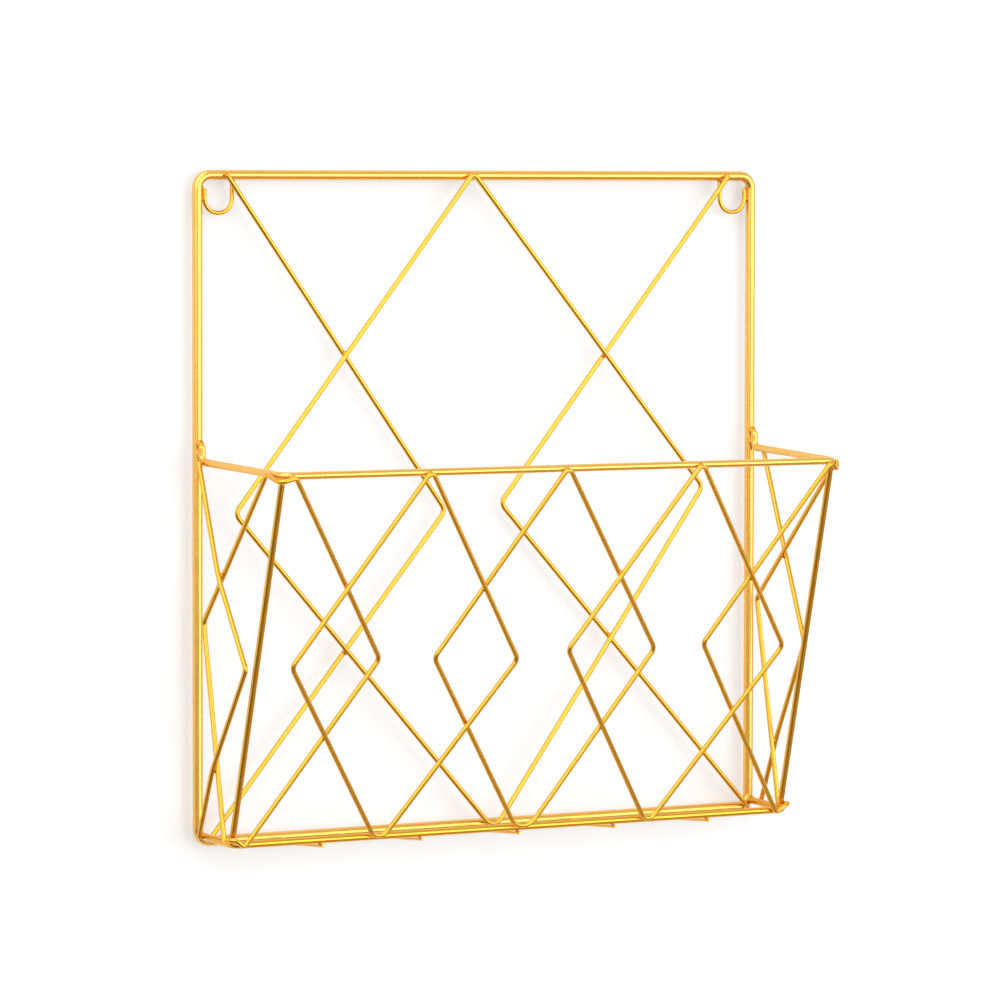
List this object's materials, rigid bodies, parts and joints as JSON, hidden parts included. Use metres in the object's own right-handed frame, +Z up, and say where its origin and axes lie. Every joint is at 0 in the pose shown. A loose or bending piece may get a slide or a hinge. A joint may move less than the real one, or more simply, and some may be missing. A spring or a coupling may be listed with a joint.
{
  "type": "wall magazine rack",
  "caption": "Flat wire panel that hangs on a wall, with a shallow forward-leaning basket of diamond lattice across its lower half for magazines and letters.",
  "frame": {"origin": "on the wall plane, behind the middle of the top bar", "axes": "+Z up, +Y into the wall, so the rack faces -Y; +X to the right as seen from the front"},
  "size_m": [0.3081, 0.0817, 0.3062],
  "materials": {
    "gold_plating": "bright gold plating on steel wire, a little soft"
  },
  "bodies": {
    "root": {"back_frame": "gold_plating", "back_diamond": "gold_plating", "back_chevron_left": "gold_plating", "back_chevron_right": "gold_plating", "hanging_loop_left": "gold_plating", "hanging_loop_right": "gold_plating", "basket_rim": "gold_plating", "floor_bar": "gold_plating", "corner_post_left": "gold_plating", "corner_post_right": "gold_plating", "front_diamond_left": "gold_plating", "front_diamond_middle": "gold_plating", "front_diamond_right": "gold_plating", "corner_diamond_left": "gold_plating", "corner_diamond_right": "gold_plating", "side_chevron_left": "gold_plating", "side_chevron_right": "gold_plating", "floor_wire_1": "gold_plating", "floor_wire_2": "gold_plating", "floor_wire_3": "gold_plating", "floor_wire_4": "gold_plating", "floor_wire_5": "gold_plating"}
  },
  "joints": []
}
